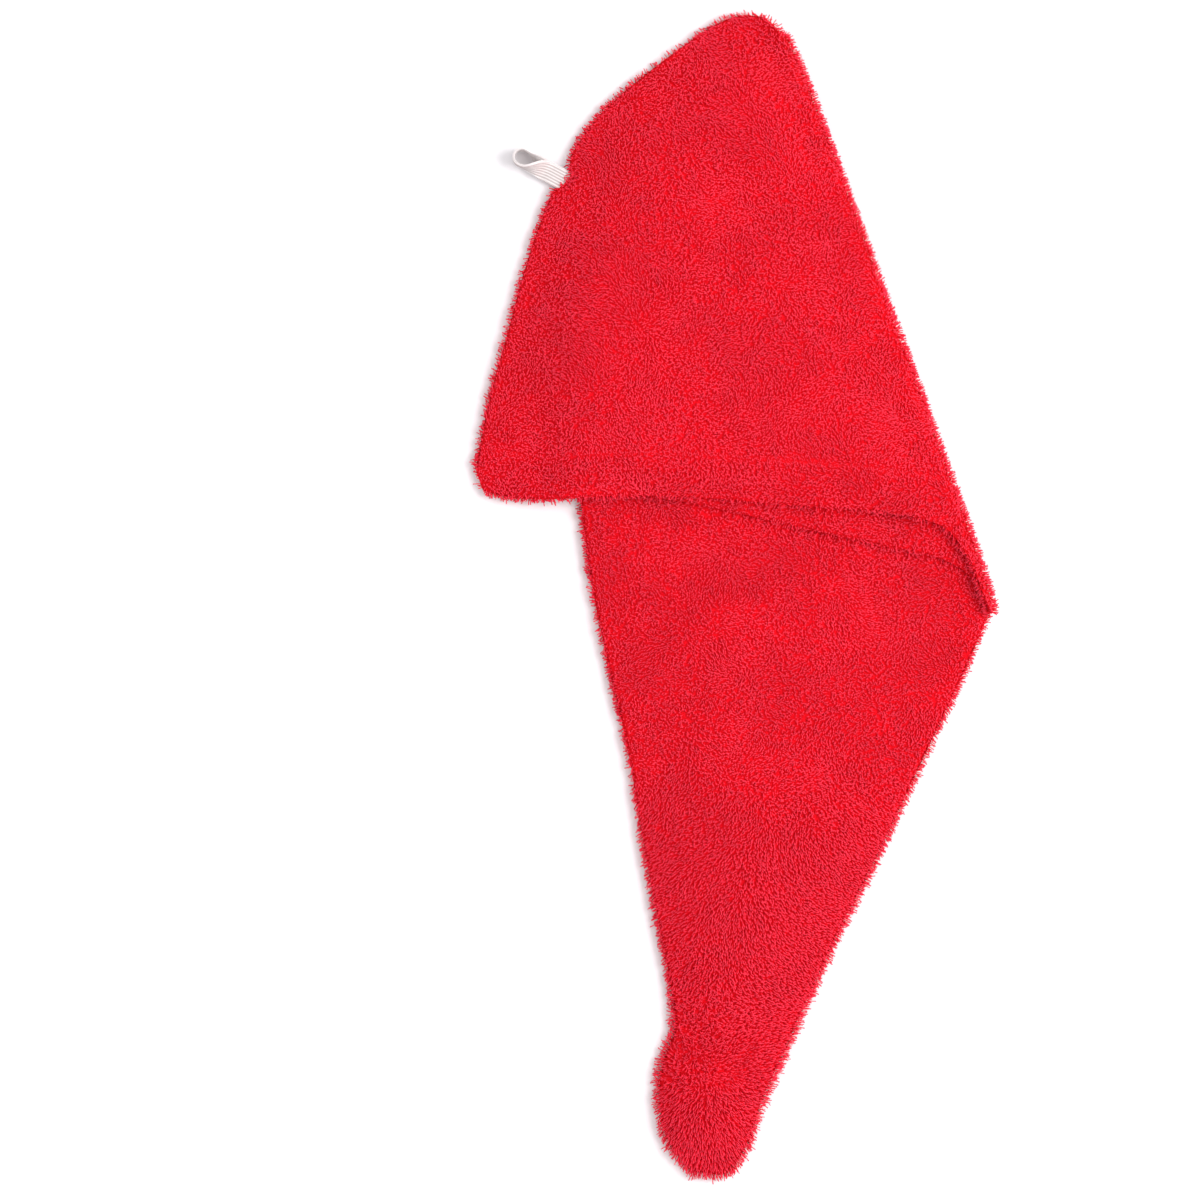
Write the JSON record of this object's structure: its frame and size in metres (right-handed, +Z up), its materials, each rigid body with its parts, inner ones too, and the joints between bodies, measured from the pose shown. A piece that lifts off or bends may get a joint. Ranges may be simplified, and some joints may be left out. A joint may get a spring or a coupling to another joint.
{
  "type": "hair turban towel",
  "caption": "Terry hair turban towel lying flat with its long tail folded under the hood, an elastic loop on the back seam and a button on the tail's tip.",
  "frame": {"origin": "under the middle of the lying towel's bounding box, on the surface that it lies on", "axes": "+X from the nape corner towards the folded edge, +Y from the tail's tip to the hood's peak, +Z up from the surface"},
  "size_m": [0.2908, 0.6516, 0.0201],
  "materials": {
    "terry_outer": "deep looped terry pile, matte",
    "terry_inner": "deep looped terry pile, matte",
    "elastic": "flat ribbed elastic, satin white",
    "button": "plain satin plastic"
  },
  "bodies": {
    "root": {"outer_panel": "terry_outer", "inner_panel": "terry_inner", "elastic_loop": "elastic", "button": "button"}
  },
  "joints": []
}
